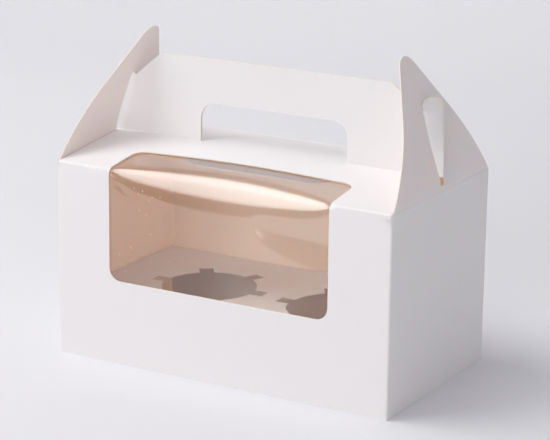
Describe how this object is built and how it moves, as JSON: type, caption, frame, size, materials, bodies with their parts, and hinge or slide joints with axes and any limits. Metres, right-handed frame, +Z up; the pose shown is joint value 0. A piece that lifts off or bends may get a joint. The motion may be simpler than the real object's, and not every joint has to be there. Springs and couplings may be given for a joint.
{
  "type": "cupcake box",
  "caption": "Folding-board carton for cupcakes with a front window, a notched insert, a carrying handle and ears that hook over it.",
  "frame": {"origin": "centre of the base, on the surface the box stands on", "axes": "+X along the box, to the right of someone who looks at the window; +Y from the window to the back; +Z up"},
  "size_m": [0.1604, 0.09, 0.1388],
  "materials": {
    "coated_board": "white ivory board, matt clay coating outside, warm bare fibre inside",
    "bare_board": "white ivory board, matt",
    "clear_film": "clear PET film, glossy"
  },
  "bodies": {
    "carton": {"carton": "coated_board", "window_film": "clear_film", "cup_insert": "bare_board"},
    "left_ear": {"left_ear": "coated_board"},
    "right_ear": {"right_ear": "coated_board"}
  },
  "joints": [
    {"name": "left_ear_fold", "type": "hinge", "parent": "carton", "child": "left_ear", "pos_m": [-0.08, 0, 0.0857], "axis": [0, -1, 0], "range_deg": [0, 165]},
    {"name": "right_ear_fold", "type": "hinge", "parent": "carton", "child": "right_ear", "pos_m": [0.08, 0, 0.0857], "axis": [0, 1, 0], "range_deg": [0, 165]}
  ]
}
